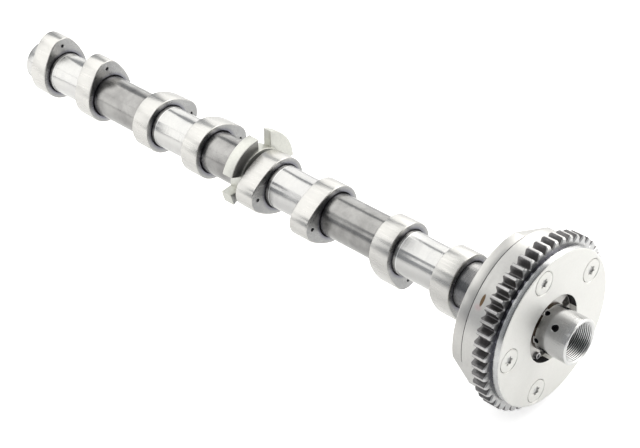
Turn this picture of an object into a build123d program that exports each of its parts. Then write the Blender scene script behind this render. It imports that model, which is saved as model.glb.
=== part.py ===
from build123d import *
from math import atan2, cos, radians, sin, sqrt
import os

# Frame, in millimetres: X runs along the shaft towards its threaded nose, Z is up.
# The origin is on the shaft's axis, at the mouth of the threaded nose.
# Angles about the axis are counted from +Y towards +Z.

# Shaft
TUBE_R = 11.94
JOURNAL_R = 11.77
NOSE_R = 11.88
GALLERY_R = 7.5
VALVE_BORE_R = 9.2
VALVE_BORE_DEPTH = 62.0
THREAD_R = 9.83
THREAD_DEPTH = 15.5
EDGE = 0.5
NOSE_HOLE_R = 1.75
NOSE_HOLE_X = -8.7
NOSE_HOLE_ANGLES = (45, 135, 225, 315)
FEED_HOLE_R = 1.3
FEED_HOLE_X = -16.2
FEED_HOLE_ANGLES = (41, 113, 185, 257, 329)
PLUG_LENGTH = 6.0
PLUG_INSET = 1.2
PLUG_WALL = 1.5

# Lobes, two for each cylinder
PAIR_ANGLES = (92.5, 2.5, 182.5, 272.5)
BORE_PITCH = 88.0
PAIR_OFFSET = 39.17
LOBE_WIDTH = 12.0
BASE_R = 15.86
LOBE_NOSE_R = 9.5
LOBE_TIP_R = 22.1
FLANK_R = 40.0
LOBE_EDGE = 0.35
DIMPLE_R = 1.0
DIMPLE_DEPTH = 0.5
DIMPLE_AT = 17.5

# Stations along the shaft: the stub behind the first lobe, the lobes, and the length ahead of the last
REAR_STUB = 9.4
FRONT_LENGTH = 66.23
FIRST_LOBE_X = -FRONT_LENGTH - PAIR_OFFSET - (len(PAIR_ANGLES) - 1) * BORE_PITCH
SHAFT_LENGTH = REAR_STUB + LOBE_WIDTH - FIRST_LOBE_X

# Sender wheel between the second and third pair: start angle, end angle, outer radius, rear face
WHEEL_WIDTH = 6.9
WHEEL_TO_LOBE = 3.6
WHEEL_FRONT_X = FIRST_LOBE_X + 2 * BORE_PITCH - LOBE_WIDTH - WHEEL_TO_LOBE
WHEEL_REAR_X = WHEEL_FRONT_X - WHEEL_WIDTH
WHEEL_HUB_R = 15.5
WHEEL_HUB_PROUD = 0.9
TALL_STEP = 2.0
TALL_REAR_X = WHEEL_REAR_X + TALL_STEP
TALL_END_Y = 7.5
TALL_CUT_ANGLES = (62, 85)
WHEEL_SEGMENTS = ((3, 76, 24.6, TALL_REAR_X), (93, 161, 22.2, WHEEL_REAR_X),
                  (188, 251, 22.2, WHEEL_REAR_X), (276, 341, 22.2, WHEEL_REAR_X))

# Phaser stack, rear to front
REAR_X = -42.1
SEAM_X = -36.4
GEAR_REAR_X = -27.9
SEAT_X = -20.65
GEAR_FRONT_X = -19.9
NECK_X = -18.2
COVER_X = -15.16
HOUSING_R = 41.4
FLAT_R = 39.1
FLAT_ANGLES = (69.5, 210.0)
FLAT_CUT_DEPTH = 10.0
FLAT_CUT_WIDTH = 60.0
SEAM_EDGE = 0.25
CLEARANCE = 0.3
END_CLEARANCE = 0.12

# Toothed rim
TOOTH_COUNT = 48
TOOTH_PHASE = 3.05
TIP_R = 45.2
ROOT_R = 41.5
TOOTH_EDGE = 0.8

# Half a tooth from its widened foot to its narrow land: radius, half width
TOOTH_ROWS = ((ROOT_R - 0.8, 2.75), (ROOT_R + 0.15, 2.45), (ROOT_R + 0.7, 1.95), (ROOT_R + 2.0, 1.45),
              (TIP_R - 0.25, 0.95), (TIP_R, 0.75))

# Stator webs and rotor vanes
WEB_COUNT = 5
WEB_PITCH = 360 / WEB_COUNT
FIRST_SCREW_ANGLE = 36.7
SCREW_ANGLES = [FIRST_SCREW_ANGLE + WEB_PITCH * i for i in range(WEB_COUNT)]
VANE_ANGLES = [angle - WEB_PITCH / 2 for angle in SCREW_ANGLES]
CHAMBER_R = 35.8
ROTOR_HUB_R = 22.0
WEB_HALF_ANGLE = 13.5
VANE_HALF_ANGLE = 9.0
SEAL_WIDTH = 2.0
SEAL_HEIGHT = 3.0
SEAL_SLOT_DEPTH = 4.0
SPRING_SHEET = 0.25
SPRING_END = 6.5
SPRING_FOOT = 5.0
SPRING_CREST = 1.5
SPRING_SIDE_GAP = 0.1
COLLAR_FRONT_X = -19.0
POCKET_IN_R = 12.7
POCKET_ANGLES = (25, 145, 265)
POCKET_HALF_ANGLE = 12.0
POCKET_DEPTH = 5.0
POCKET_RIM = 0.4
HOLLOW_PIN_AT_R = 15.1
HOLLOW_PIN_ANGLE = 242.0
HOLLOW_PIN_R = 1.6
HOLLOW_PIN_BORE_R = 1.0
HOLLOW_PIN_DEPTH = 6.0
HOLLOW_PIN_PROUD = 1.5

# Lock in the third vane
LOCK_ANGLE = VANE_ANGLES[2]
LOCK_AT_R = 27.2
LOCK_PIN_R = 3.2
LOCK_BORE_R = 3.25
LOCK_PIN_LENGTH = 9.5
LOCK_PIN_BACK = 0.6
LOCK_PIN_EDGE = 0.6
LOCK_BORE_WALL = 1.2
LOCK_WELL_R = 2.1
LOCK_WELL_DEPTH = 6.0
COIL_R = 1.55
COIL_WIRE = 0.55
COIL_TURNS = 6
BUSH_R = 5.0
BUSH_BORE_R = 3.5
BUSH_DEPTH = 3.6

# Covers and screws
COVER_R = 41.0
NECK_R = 40.6
COVER_EDGE = 0.95
OPENING_R = 17.5
OPENING_EDGE = 0.3
REAR_BORE_R = 12.2
SCREW_AT_R = 32.9
SCREW_R = 3.0
SCREW_HOLE_R = 3.2
SCREW_HEAD_R = 6.0
SCREW_HEAD_DEPTH = 3.1
SCREW_LENGTH = 24.5
SOCKET_R = 2.45
SOCKET_IN_R = 1.8
SOCKET_DEPTH = 2.4


def at(radius, angle):
    return (radius * cos(radians(angle)), radius * sin(radians(angle)))


def on(x):
    return Plane.YZ.offset(x)


def slab(face, x0, x1):
    return extrude(on(x0) * face, amount=x1 - x0)


def disc(radius, x0, x1, centre=(0, 0)):
    return slab(Pos(*centre) * Circle(radius), x0, x1)


def ring(outer, inner, x0, x1):
    return slab(Circle(outer) - Circle(inner), x0, x1)


def polygon(points):
    return make_face(Polyline(*points, close=True))


def sector(inner, outer, start, end):
    middle = (start + end) / 2
    return make_face([
        ThreePointArc(at(outer, start), at(outer, middle), at(outer, end)),
        Line(at(outer, end), at(inner, end)),
        ThreePointArc(at(inner, end), at(inner, middle), at(inner, start)),
        Line(at(inner, start), at(outer, start)),
    ])


def turned(points):
    # Solid of revolution about X from (x, radius) points.
    return revolve(polygon(points), Axis.X)


def radial_hole(x, angle, radius, reach):
    y, z = at(1, angle)
    return extrude(Plane(origin=(x, 0, 0), z_dir=(0, y, z)) * Circle(radius), amount=reach)


def shaft_steps():
    # Radius changes from the rear end to the nose: raw tube, ground journals, nose.
    steps = [(-SHAFT_LENGTH, TUBE_R)]
    for pair in range(len(PAIR_ANGLES)):
        front = FIRST_LOBE_X + pair * BORE_PITCH
        steps += [(front, JOURNAL_R), (front + PAIR_OFFSET - LOBE_WIDTH, TUBE_R)]
    return steps + [(-FRONT_LENGTH, NOSE_R)]


def camshaft_tube():
    steps = shaft_steps()
    outline = [(-SHAFT_LENGTH, GALLERY_R), (-SHAFT_LENGTH, TUBE_R - EDGE), (-SHAFT_LENGTH + EDGE, TUBE_R)]
    for (x, radius), (_, before) in zip(steps[1:], steps):
        outline += [(x, before), (x, radius)]
    outline += [
        (-EDGE, NOSE_R), (0, NOSE_R - EDGE), (0, THREAD_R),
        (-THREAD_DEPTH, THREAD_R), (-THREAD_DEPTH, VALVE_BORE_R),
        (-VALVE_BORE_DEPTH, VALVE_BORE_R), (-VALVE_BORE_DEPTH, GALLERY_R),
    ]
    tube = turned(outline)
    for angle in NOSE_HOLE_ANGLES:
        tube -= radial_hole(NOSE_HOLE_X, angle, NOSE_HOLE_R, 2 * NOSE_R)
    for angle in FEED_HOLE_ANGLES:
        tube -= radial_hole(FEED_HOLE_X, angle, FEED_HOLE_R, 2 * NOSE_R)
    return tube


def rear_plug():
    back = -SHAFT_LENGTH + PLUG_INSET
    front = back + PLUG_LENGTH
    return disc(GALLERY_R, back, front) - disc(GALLERY_R - PLUG_WALL, back, front - PLUG_WALL)


def lobe_face(angle):
    # Base circle, nose circle and two convex flanks that touch both.
    offset = LOBE_TIP_R - LOBE_NOSE_R
    to_base = FLANK_R - BASE_R
    to_nose = FLANK_R - LOBE_NOSE_R
    cu = (to_base ** 2 - to_nose ** 2 + offset ** 2) / (2 * offset)
    cv = -sqrt(to_base ** 2 - cu ** 2)
    base = (-cu * BASE_R / to_base, -cv * BASE_R / to_base)
    nose = (offset + (offset - cu) * LOBE_NOSE_R / to_nose, -cv * LOBE_NOSE_R / to_nose)
    turn = (atan2(base[1] - cv, base[0] - cu) + atan2(nose[1] - cv, nose[0] - cu)) / 2
    flank = (cu + FLANK_R * cos(turn), cv + FLANK_R * sin(turn))
    face = make_face([
        ThreePointArc((base[0], -base[1]), (-BASE_R, 0), base),
        ThreePointArc(base, flank, nose),
        ThreePointArc(nose, (LOBE_TIP_R, 0), (nose[0], -nose[1])),
        ThreePointArc((nose[0], -nose[1]), (flank[0], -flank[1]), (base[0], -base[1])),
    ])
    return Rot(0, 0, angle) * (face - Circle(TUBE_R))


def lobe(front, angle):
    body = slab(lobe_face(angle), front - LOBE_WIDTH, front)
    ends = body.faces().filter_by(Axis.X)
    body = chamfer(ends.edges(), LOBE_EDGE)
    return body - disc(DIMPLE_R, front - DIMPLE_DEPTH, front + 1, at(DIMPLE_AT, angle))


def sender_wheel():
    wheel = ring(WHEEL_HUB_R, TUBE_R, WHEEL_REAR_X, WHEEL_FRONT_X + WHEEL_HUB_PROUD)
    for start, end, radius, rear in WHEEL_SEGMENTS:
        wheel += slab(sector(TUBE_R + 1, radius, start, end), rear, WHEEL_FRONT_X)
    reach = 2 * WHEEL_SEGMENTS[0][2]
    cut = Pos(WHEEL_REAR_X, TALL_END_Y - reach, 0) * Box(
        2 * (WHEEL_FRONT_X - WHEEL_REAR_X), reach, reach, align=(Align.CENTER, Align.MIN, Align.MIN))
    tall_zone = slab(sector(WHEEL_HUB_R, reach, *TALL_CUT_ANGLES), WHEEL_REAR_X, WHEEL_FRONT_X)
    return wheel - (cut & tall_zone)


def seal_slot_in_r():
    return CHAMBER_R - CLEARANCE - SEAL_SLOT_DEPTH


def phaser_rotor():
    rear = SEAM_X + END_CLEARANCE
    front = SEAT_X - END_CLEARANCE
    tip = CHAMBER_R - CLEARANCE
    face = Circle(ROTOR_HUB_R)
    for angle in VANE_ANGLES:
        face += sector(ROTOR_HUB_R - 1, tip, angle - VANE_HALF_ANGLE, angle + VANE_HALF_ANGLE)
    face -= Circle(NOSE_R)
    for angle in VANE_ANGLES:
        middle = tip - SEAL_SLOT_DEPTH / 2 + 1
        slot = Pos(middle, 0) * Rectangle(SEAL_SLOT_DEPTH + 2, SEAL_WIDTH)
        face -= Rot(0, 0, angle) * slot
    rotor = slab(face, rear, front)
    collar = OPENING_R - CLEARANCE
    rotor += ring(collar, NOSE_R, front, COLLAR_FRONT_X)
    for angle in POCKET_ANGLES:
        start, end = angle - POCKET_HALF_ANGLE, angle + POCKET_HALF_ANGLE
        pocket = sector(POCKET_IN_R, collar - POCKET_RIM, start, end)
        rotor -= slab(pocket, COLLAR_FRONT_X - POCKET_DEPTH, COLLAR_FRONT_X)
    rotor -= disc(LOCK_BORE_R, rear, lock_bore_end(), at(LOCK_AT_R, LOCK_ANGLE))
    return rotor - disc(HOLLOW_PIN_R, COLLAR_FRONT_X - HOLLOW_PIN_DEPTH, COLLAR_FRONT_X, hollow_pin_centre())


def hollow_pin_centre():
    return at(HOLLOW_PIN_AT_R, HOLLOW_PIN_ANGLE)


def lock_bore_end():
    return SEAT_X - END_CLEARANCE - LOCK_BORE_WALL


def vane_seal(angle):
    length = SEAT_X - SEAM_X - 2 * END_CLEARANCE
    bar = Box(length, SEAL_HEIGHT, SEAL_WIDTH, align=(Align.MIN, Align.MAX, Align.CENTER))
    return Rot(angle, 0, 0) * (Pos(SEAM_X + END_CLEARANCE, CHAMBER_R - CLEARANCE, 0) * bar)


def seal_spring(angle):
    # Bowed strip between the slot's floor and the seal.
    floor = seal_slot_in_r()
    rise = SEAL_SLOT_DEPTH - SEAL_HEIGHT - SPRING_SHEET
    middle = (SEAM_X + SEAT_X) / 2
    half = [(SPRING_CREST, rise), (SPRING_FOOT, 0), (SPRING_END, 0)]
    line = [(-x, r) for x, r in reversed(half)] + half
    lower = [(middle + x, floor + r) for x, r in line]
    upper = [(middle + x, floor + r + SPRING_SHEET) for x, r in reversed(line)]
    strip = extrude(polygon(lower + upper), amount=SEAL_WIDTH / 2 - SPRING_SIDE_GAP, both=True)
    return Rot(angle, 0, 0) * strip


def lock_pin():
    centre = at(LOCK_AT_R, LOCK_ANGLE)
    rear = SEAM_X + LOCK_PIN_BACK
    pin = disc(LOCK_PIN_R, rear, rear + LOCK_PIN_LENGTH, centre)
    pin = chamfer(pin.edges().group_by(Axis.X)[0], LOCK_PIN_EDGE)
    return pin - disc(LOCK_WELL_R, rear + LOCK_PIN_LENGTH - LOCK_WELL_DEPTH, rear + LOCK_PIN_LENGTH, centre)


def lock_spring():
    y, z = at(LOCK_AT_R, LOCK_ANGLE)
    start = SEAM_X + LOCK_PIN_BACK + LOCK_PIN_LENGTH - LOCK_WELL_DEPTH + COIL_WIRE / 2
    height = lock_bore_end() - COIL_WIRE / 2 - start
    path = Helix(pitch=height / COIL_TURNS, height=height, radius=COIL_R)
    wire = Plane(origin=path @ 0, z_dir=path % 0) * Rectangle(COIL_WIRE, COIL_WIRE)
    coil = sweep(wire, path, is_frenet=True)
    return Pos(start, y, z) * (Rot(0, 90, 0) * coil)


def hollow_pin():
    rear = COLLAR_FRONT_X - HOLLOW_PIN_DEPTH
    front = COLLAR_FRONT_X + HOLLOW_PIN_PROUD
    section = Pos(*hollow_pin_centre()) * (Circle(HOLLOW_PIN_R) - Circle(HOLLOW_PIN_BORE_R))
    return slab(section, rear, front)


def tooth_face(angle):
    left = list(TOOTH_ROWS)
    right = [(radius, -half_width) for radius, half_width in reversed(TOOTH_ROWS)]
    return Rot(0, 0, angle) * polygon(left + right)


def toothed_rim():
    step = 360 / TOOTH_COUNT
    rim = Circle(ROOT_R)
    rim += [tooth_face(TOOTH_PHASE + i * step) for i in range(TOOTH_COUNT)]
    rim = slab(rim, GEAR_REAR_X, GEAR_FRONT_X)
    bevel = turned([
        (GEAR_REAR_X, 0), (GEAR_REAR_X, TIP_R - TOOTH_EDGE), (GEAR_REAR_X + TOOTH_EDGE, TIP_R + 0.1),
        (GEAR_FRONT_X - TOOTH_EDGE, TIP_R + 0.1), (GEAR_FRONT_X, TIP_R - TOOTH_EDGE), (GEAR_FRONT_X, 0),
    ])
    return rim & bevel


def chamber_face():
    face = Circle(ROTOR_HUB_R + CLEARANCE)
    for angle in VANE_ANGLES:
        half = WEB_PITCH / 2 - WEB_HALF_ANGLE
        face += sector(ROTOR_HUB_R, CHAMBER_R, angle - half, angle + half)
    return face


def cut_flats(body, x0, x1):
    for angle in FLAT_ANGLES:
        block = Pos(FLAT_R + FLAT_CUT_DEPTH / 2, 0) * Rectangle(FLAT_CUT_DEPTH, FLAT_CUT_WIDTH)
        body -= slab(Rot(0, 0, angle) * block, x0, x1)
    return body


def sprocket_housing():
    barrel = turned([
        (SEAM_X, 0), (SEAM_X, HOUSING_R - SEAM_EDGE), (SEAM_X + SEAM_EDGE, HOUSING_R),
        (GEAR_REAR_X, HOUSING_R), (GEAR_REAR_X, 0),
    ])
    body = barrel + toothed_rim()
    body -= slab(chamber_face(), SEAM_X, GEAR_FRONT_X)
    body -= disc(NECK_R, SEAT_X, GEAR_FRONT_X)
    for angle in SCREW_ANGLES:
        body -= disc(SCREW_HOLE_R, SEAM_X, SEAT_X, at(SCREW_AT_R, angle))
    return body


def front_cover():
    cover = turned([
        (SEAT_X, OPENING_R), (SEAT_X, NECK_R), (NECK_X, NECK_R), (NECK_X, COVER_R),
        (COVER_X - COVER_EDGE, COVER_R), (COVER_X - COVER_EDGE / 3, COVER_R - COVER_EDGE / 3),
        (COVER_X, COVER_R - COVER_EDGE),
        (COVER_X, OPENING_R + OPENING_EDGE), (COVER_X - OPENING_EDGE, OPENING_R),
    ])
    for angle in SCREW_ANGLES:
        cover -= screw_shape(angle, SCREW_HOLE_R)
    return cover


def rear_cover():
    cover = turned([
        (REAR_X, REAR_BORE_R), (REAR_X, HOUSING_R - EDGE), (REAR_X + EDGE, HOUSING_R),
        (SEAM_X - SEAM_EDGE, HOUSING_R), (SEAM_X, HOUSING_R - SEAM_EDGE), (SEAM_X, REAR_BORE_R),
    ])
    cover = cut_flats(cover, REAR_X, SEAM_X)
    for angle in SCREW_ANGLES:
        cover -= disc(SCREW_R, COVER_X - SCREW_LENGTH, SEAM_X, at(SCREW_AT_R, angle))
    return cover - disc(BUSH_R, SEAM_X - BUSH_DEPTH, SEAM_X, at(LOCK_AT_R, LOCK_ANGLE))


def lock_bush():
    centre = at(LOCK_AT_R, LOCK_ANGLE)
    face = Pos(*centre) * (Circle(BUSH_R) - Circle(BUSH_BORE_R))
    return slab(face, SEAM_X - BUSH_DEPTH, SEAM_X)


def screw_shape(angle, shank):
    # Countersunk head flush with the cover, shank to the rear.
    neck = COVER_X - SCREW_HEAD_DEPTH
    solid = turned([
        (COVER_X, 0), (COVER_X, SCREW_HEAD_R), (neck, shank),
        (COVER_X - SCREW_LENGTH, shank), (COVER_X - SCREW_LENGTH, 0),
    ])
    y, z = at(SCREW_AT_R, angle)
    return Pos(0, y, z) * solid


def cover_screw(angle):
    socket = Circle(SOCKET_IN_R)
    for i in range(6):
        socket += Pos(*at(SOCKET_IN_R, 60 * i + angle)) * Circle(SOCKET_R - SOCKET_IN_R)
    socket = Pos(*at(SCREW_AT_R, angle)) * socket
    return screw_shape(angle, SCREW_R) - slab(socket, COVER_X - SOCKET_DEPTH, COVER_X)


def pieces():
    named = {"camshaft_tube": camshaft_tube(), "rear_plug": rear_plug(), "sender_wheel": sender_wheel()}
    for pair, angle in enumerate(PAIR_ANGLES):
        front = FIRST_LOBE_X + pair * BORE_PITCH
        named[f"lobe_{2 * pair + 1}"] = lobe(front, angle)
        named[f"lobe_{2 * pair + 2}"] = lobe(front + PAIR_OFFSET, angle)
    named["phaser_rotor"] = phaser_rotor()
    for i, angle in enumerate(VANE_ANGLES):
        named[f"vane_seal_{i + 1}"] = vane_seal(angle)
        named[f"seal_spring_{i + 1}"] = seal_spring(angle)
    named["lock_pin"] = lock_pin()
    named["lock_spring"] = lock_spring()
    named["hollow_pin"] = hollow_pin()
    named["sprocket_housing"] = sprocket_housing()
    named["front_cover"] = front_cover()
    named["rear_cover"] = rear_cover()
    named["lock_bush"] = lock_bush()
    for i, angle in enumerate(SCREW_ANGLES):
        named[f"cover_screw_{i + 1}"] = cover_screw(angle)
    return named


os.makedirs("parts", exist_ok=True)
for name, solid in pieces().items():
    export_step(solid, f"parts/{name}.step")
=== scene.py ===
# The camshaft's looks: its pieces as surfaces worked out with numpy, and their finishes.
import bmesh
import bpy
import numpy as np
from mathutils import Matrix, Vector


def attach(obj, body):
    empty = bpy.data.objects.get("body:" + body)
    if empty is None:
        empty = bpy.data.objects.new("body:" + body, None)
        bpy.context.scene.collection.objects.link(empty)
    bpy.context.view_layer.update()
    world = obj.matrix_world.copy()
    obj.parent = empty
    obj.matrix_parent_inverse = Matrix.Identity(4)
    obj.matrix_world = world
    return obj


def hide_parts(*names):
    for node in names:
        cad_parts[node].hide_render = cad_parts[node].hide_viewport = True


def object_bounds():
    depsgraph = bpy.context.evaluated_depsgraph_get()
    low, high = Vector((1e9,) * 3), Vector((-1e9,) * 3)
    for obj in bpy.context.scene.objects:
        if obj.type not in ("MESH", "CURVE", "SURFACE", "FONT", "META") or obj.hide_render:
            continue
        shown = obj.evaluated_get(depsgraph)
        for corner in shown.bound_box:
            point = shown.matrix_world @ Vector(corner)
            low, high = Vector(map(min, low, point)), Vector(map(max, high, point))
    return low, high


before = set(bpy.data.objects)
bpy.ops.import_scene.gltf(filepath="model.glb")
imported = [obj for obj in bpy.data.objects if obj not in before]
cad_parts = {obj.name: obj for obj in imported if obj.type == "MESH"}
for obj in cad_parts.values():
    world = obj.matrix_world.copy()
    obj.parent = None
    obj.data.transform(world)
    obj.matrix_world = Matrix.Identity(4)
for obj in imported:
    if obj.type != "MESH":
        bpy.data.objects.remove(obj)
cad_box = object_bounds()

MM = 0.001

# Sizes are in millimetres and angles in degrees. X runs along the shaft and is 0 at the mouth of the nose,
# and angles turn about it from +Y to +Z. Names that end in _X are places along the shaft, in _R radii.

# Tube and nose
SHAFT_END_X, END_EDGE = -390.8, 0.5
TUBE_R, JOURNAL_R, NOSE_R = 11.94, 11.77, 11.88
RAW_STRIP, STEP_LENGTH = 1.9, 0.4
# The third value on the next line is where the nose's painted dark brown shade ends, in the cover's opening.
NOSE_CHAMFER, MOUTH_CHAMFER, NOSE_SHADE_TO_X = 0.5, 0.7, -17.2
THREAD_R, THREAD_DEPTH, THREAD_PITCH, THREAD_HEIGHT = 9.83, 15.5, 1.0, 0.3
VALVE_BORE_R, VALVE_BORE_END_X, GALLERY_R = 9.2, -62.0, 7.5
NOSE_HOLES = dict(x=-8.7, radius=1.75, angles=(45, 135, 225, 315))
FEED_HOLES = dict(x=-16.2, radius=1.3, angles=(41, 113, 185, 257, 329))
HOLE_DEPTH = 1.9

# Lobes
BORE_PITCH, PAIR_OFFSET, FIRST_LOBE_X, LOBE_WIDTH = 88.0, 39.17, -369.4, 12.0
BASE_R, FLANK_R, LOBE_NOSE_R, LOBE_TIP_R = 15.86, 40.0, 9.5, 22.1
PAIR_ANGLES = (92.5, 2.5, 182.5, 272.5)
LOBE_EDGE, BORE_CHAMFER = 0.45, 0.7
DIMPLE_AT_R, DIMPLE_R, DIMPLE_DEPTH, DIMPLE_HALF = 17.5, 1.0, 0.6, 8

# Sender wheel
WHEEL_FRONT_X, WHEEL_REAR_X, WHEEL_EDGE = -209.0, -215.9, 0.35
WHEEL_HUB_R, WHEEL_HUB_PROUD, WHEEL_HUB_EDGE, WHEEL_OVERLAP = 15.5, 0.9, 0.4, 0.5
SEGMENT_R, SEGMENTS = 22.2, ((93, 161), (188, 206), (276, 341))
TALL_R, TALL_REAR_X, TALL_START, TALL_END = 24.6, -213.9, 3, 72.25
TALL_CUT_Y, TALL_CUT_FROM_Z = 7.5, 12.0

# Phaser housing, from the rear to the front
REAR_X, SEAM_X, GEAR_REAR_X = -42.1, -36.4, -27.9
SEAT_X, GEAR_FRONT_X, NECK_X, COVER_X = -20.65, -19.9, -18.2, -15.16
HOUSING_R, REAR_BORE_R, REAR_EDGE, SEAM_EDGE = 41.4, 12.2, 0.45, 0.2
FLAT_R, FLAT_ANGLES = 39.1, (69.5, 210)
TOOTH_COUNT, TOOTH_PHASE, TIP_R, ROOT_R, TOOTH_EDGE = 48, 3.05, 45.2, 41.5, 0.8
VANES, WEB_HALF, HUB_CLEAR_R, CHAMBER_R = 5, 12.7, 22.3, 35.8
WEB_ANGLES = 36.7 + 360 / VANES * np.arange(VANES)
COVER_R, COVER_FLAT_R, NECK_R, SEAT_GAP = 41.0, 39.8, 40.6, 0.02
OPENING_R, OPENING_EDGE = 17.5, 0.3
# Spans of angle, in degrees, where the opening's wall is painted dark as shade
DARK_WALL = ((12, 47), (228, 265))

# Cover screws
SCREW_AT_R, SCREW_R, SCREW_HOLE_R, SCREW_LENGTH, SCREW_CHAMFER = 32.9, 3.0, 3.2, 24.5, 0.3
SCREW_HEAD_R, SCREW_HEAD_DEPTH, COUNTERSINK_GAP = 6.0, 3.1, 0.14
SOCKET_R, SOCKET_IN_R, SOCKET_DEPTH = 2.45, 1.8, 1.0

# Mesh limits: vertices closer than WELD metres are one, edges under SLIVER metres go, and an edge between
# faces that turn by more than CREASE degrees stays sharp
WELD, SLIVER, CREASE = 2e-6, 1e-7, 32


# Grids and meshes

def circle(count):
    """Angles all the way round in radians, one for each column."""
    return np.arange(count) * (2 * np.pi / count)


def polar(radius, angle):
    """Points (y, z) at a radius and an angle: radius times the angle's cosine and sine."""
    radius, angle = np.broadcast_arrays(radius, angle)
    return np.stack([radius * np.cos(angle), radius * np.sin(angle)], -1)


def ring(x, radius, angle):
    """Points at distance x along the shaft and at a radius and an angle round it."""
    x, radius, angle = np.broadcast_arrays(x, radius, angle)
    return np.concatenate([x[..., None], polar(radius, angle)], -1)


def turned(profile, count):
    """Surface of revolution: each profile point (x, radius) goes once round the X axis."""
    x, radius = np.asarray(profile, float).T
    return ring(x[:, None], radius[:, None], circle(count)[None, :])


def loops(x, outlines):
    """Rows of a piece along the shaft: outline k, points (y, z), stands at x[k]."""
    outlines = np.asarray(outlines, float)
    x = np.broadcast_to(np.asarray(x, float)[:, None, None], outlines.shape[:2] + (1,))
    return np.concatenate([x, outlines], -1)


def eased(points, size, steps=4, closed=True):
    """Rounds the corners of a profile: each becomes the parabola that leaves one side and joins the next
    at the given distance from the corner, or at 0.45 of a side that is shorter."""
    p = np.asarray(points, float)
    before, after = np.roll(p, 1, 0) - p, np.roll(p, -1, 0) - p
    reach_a, reach_b = (np.linalg.norm(v, axis=1, keepdims=True) for v in (before, after))
    size = np.broadcast_to(np.asarray(size, float), len(p))[:, None]
    a = p + before / reach_a * np.minimum(size, 0.45 * reach_a)
    b = p + after / reach_b * np.minimum(size, 0.45 * reach_b)
    t = np.linspace(0, 1, steps)[None, :, None]
    out = (1 - t) ** 2 * a[:, None] + 2 * t * (1 - t) * p[:, None] + t ** 2 * b[:, None]
    if not closed:
        out[0], out[-1] = p[0], p[-1]
    return out.reshape(-1, 2)


def inset(outline, distance):
    """Moves each point of a closed outline inwards, square to the line between its neighbours."""
    along = np.roll(outline, -1, 0) - np.roll(outline, 1, 0)
    along /= np.maximum(np.linalg.norm(along, axis=1, keepdims=True), 1e-9)
    return outline + distance * np.stack([-along[:, 1], along[:, 0]], -1)


def slab(outline, inner, rear, front, edges, finishes, rows=(6, 6), steps=4):
    """Rows of a plate across the shaft: out over the rear face from the inner outline, round the rim and in
    over the front face. A quarter circle rounds each edge of the rim: its point at angle t is
    size (1 - cos t) along the shaft and size (1 - sin t) inside the outline. edges gives the sizes at the
    rear and the front, rows the number of rows of each face, steps the points of an edge, and finishes those
    of the faces, the rim and the rim's front edge. Gives the rows and the finish of each."""
    face, rim, front_edge = finishes
    t = np.linspace(0, np.pi / 2, steps)
    along, depth = 1 - np.cos(t), 1 - np.sin(t)
    x = np.concatenate([rear + edges[0] * along, front - edges[1] * along[::-1]])
    round_rim = [inset(outline, d) for d in np.concatenate([edges[0] * depth, edges[1] * depth[::-1]])]
    out = [inner + k * (round_rim[0] - inner) for k in np.linspace(0, 1, rows[0])[:-1]]
    back = [round_rim[-1] + k * (inner - round_rim[-1]) for k in np.linspace(0, 1, rows[1])[1:]]
    distances = np.concatenate([np.full(len(out), rear), x, np.full(len(back), front)])
    by_row = [face] * len(out) + [rim] * steps + [front_edge] * (steps - 1) + [face] * (len(back) + 1)
    return loops(distances, out + round_rim + back), by_row


def quads(shape, wrap_rows, wrap_columns, kept=None):
    """Corner numbers of the quads between neighbours of a rows by columns grid."""
    rows, columns = shape
    starts = np.arange(rows - (not wrap_rows)), np.arange(columns - (not wrap_columns))
    i, j = np.meshgrid(*starts, indexing="ij")
    row, below, right = i * columns, (i + 1) % rows * columns, (j + 1) % columns
    faces = np.stack([row + j, below + j, below + right, row + right], -1)
    return faces.reshape(-1, 4) if kept is None else faces[kept]


class Piece:
    """Gathers grids of points in millimetres and makes one closed mesh of them. A piece lists its finishes,
    and each face has one of them."""

    def __init__(self, name, *finishes):
        self.name, self.finishes = name, finishes
        self.points, self.faces, self.numbers, self.count = [], [], [], 0

    def grid(self, points, finish, wrap_rows=False, wrap_columns=True, kept=None, patches=()):
        """Adds a grid with one finish, or a list with one for each row of points and the quads that follow
        it. kept leaves out the other quads, and patches holds pairs of a mask over the grid and the finish
        that its quads get instead."""
        rows, columns = points.shape[:2]
        by_row = finish if isinstance(finish, list) else [finish] * rows
        numbers = np.repeat([[self.finishes.index(one)] for one in by_row], columns, 1)
        for mask, other in patches:
            numbers[mask] = self.finishes.index(other)
        faces = quads((rows, columns), wrap_rows, wrap_columns, kept)
        self.numbers.append(numbers.reshape(-1)[faces[:, 0]])
        self.points.append(points.reshape(-1, 3))
        self.faces.append(faces + self.count)
        self.count += rows * columns

    def made(self, body, slot, *nodes):
        """Makes the mesh, with its seams welded, and puts it in the place of the CAD nodes."""
        mesh = bpy.data.meshes.new(self.name)
        mesh.from_pydata(np.concatenate(self.points) * MM, [], np.concatenate(self.faces))
        mesh.polygons.foreach_set("material_index", np.concatenate(self.numbers).astype(np.int32))
        solid = bmesh.new()
        solid.from_mesh(mesh)
        bmesh.ops.remove_doubles(solid, verts=solid.verts, dist=WELD)
        bmesh.ops.dissolve_degenerate(solid, edges=solid.edges, dist=SLIVER)
        bmesh.ops.recalc_face_normals(solid, faces=solid.faces)
        solid.to_mesh(mesh)
        solid.free()
        for finish in self.finishes:
            mesh.materials.append(finish)
        mesh.shade_smooth()
        mesh.set_sharp_from_angle(angle=np.radians(CREASE))
        thing = bpy.data.objects.new(self.name, mesh)
        bpy.context.scene.collection.objects.link(thing)
        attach(thing, body)
        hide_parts(*nodes)


# Holes in a wall: a window of the wall's grid gives way to a patch that ends on the hole's edge

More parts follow.
